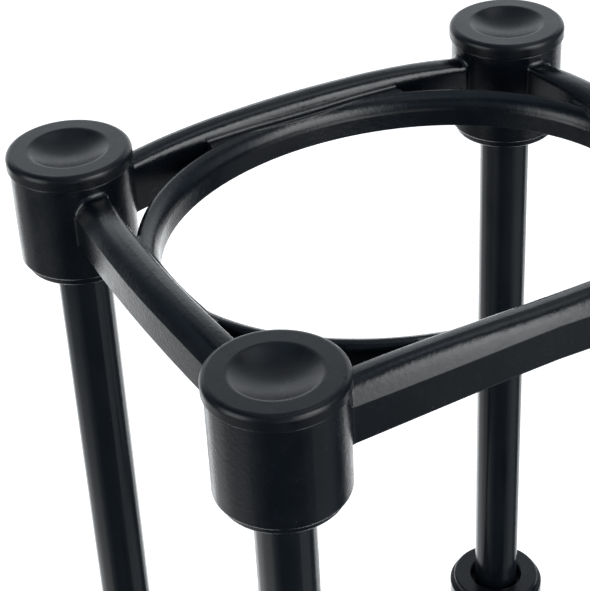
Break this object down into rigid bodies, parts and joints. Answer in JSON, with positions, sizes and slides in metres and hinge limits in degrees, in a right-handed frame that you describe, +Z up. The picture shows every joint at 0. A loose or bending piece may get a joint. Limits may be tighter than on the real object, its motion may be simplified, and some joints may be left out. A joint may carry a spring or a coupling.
{
  "type": "speaker isolation stand",
  "caption": "Desktop loudspeaker stand: upper and inverted lower oval-braced frames joined by tubular posts, with dished rubber isolators at every corner, above and below.",
  "frame": {"origin": "centre of the footprint, on the plane the feet stand on", "axes": "+Z up; +X along the short side towards the stand's right; -Y the short side that faces the listener"},
  "size_m": [0.1306, 0.1486, 0.215],
  "materials": {
    "frame_moulding": "satin black moulded plastic",
    "isolator_rubber": "matt charcoal rubber",
    "connector_core": "plain dark engineering plastic",
    "post_tube": "satin black coated steel tube"
  },
  "bodies": {
    "base": {"bottom_frame": "frame_moulding", "bottom_isolator_front_left": "isolator_rubber", "bottom_isolator_front_right": "isolator_rubber", "bottom_isolator_rear_left": "isolator_rubber", "bottom_isolator_rear_right": "isolator_rubber", "bottom_core_front_left": "connector_core", "bottom_core_front_right": "connector_core", "bottom_core_rear_left": "connector_core", "bottom_core_rear_right": "connector_core"},
    "top": {"top_frame": "frame_moulding", "top_isolator_front_left": "isolator_rubber", "top_isolator_front_right": "isolator_rubber", "top_isolator_rear_left": "isolator_rubber", "top_isolator_rear_right": "isolator_rubber", "top_core_front_left": "connector_core", "top_core_front_right": "connector_core", "top_core_rear_left": "connector_core", "top_core_rear_right": "connector_core"},
    "post_body_front_left": {"post_front_left": "post_tube"},
    "post_body_front_right": {"post_front_right": "post_tube"},
    "post_body_rear_left": {"post_rear_left": "post_tube"},
    "post_body_rear_right": {"post_rear_right": "post_tube"}
  },
  "joints": [
    {"name": "top_lift", "type": "slide", "parent": "base", "child": "top", "axis": [0, 0, 1], "range_m": [0, 0.06]},
    {"name": "post_lift_front_left", "type": "slide", "parent": "base", "child": "post_body_front_left", "axis": [0, 0, 1], "range_m": [0, 0.03]},
    {"name": "post_lift_front_right", "type": "slide", "parent": "base", "child": "post_body_front_right", "axis": [0, 0, 1], "range_m": [0, 0.03]},
    {"name": "post_lift_rear_left", "type": "slide", "parent": "base", "child": "post_body_rear_left", "axis": [0, 0, 1], "range_m": [0, 0.03]},
    {"name": "post_lift_rear_right", "type": "slide", "parent": "base", "child": "post_body_rear_right", "axis": [0, 0, 1], "range_m": [0, 0.03]}
  ],
  "couplings": [
    {"joint": "post_lift_front_left", "follows": "top_lift", "ratio": 0.5},
    {"joint": "post_lift_front_right", "follows": "top_lift", "ratio": 0.5},
    {"joint": "post_lift_rear_left", "follows": "top_lift", "ratio": 0.5},
    {"joint": "post_lift_rear_right", "follows": "top_lift", "ratio": 0.5}
  ]
}
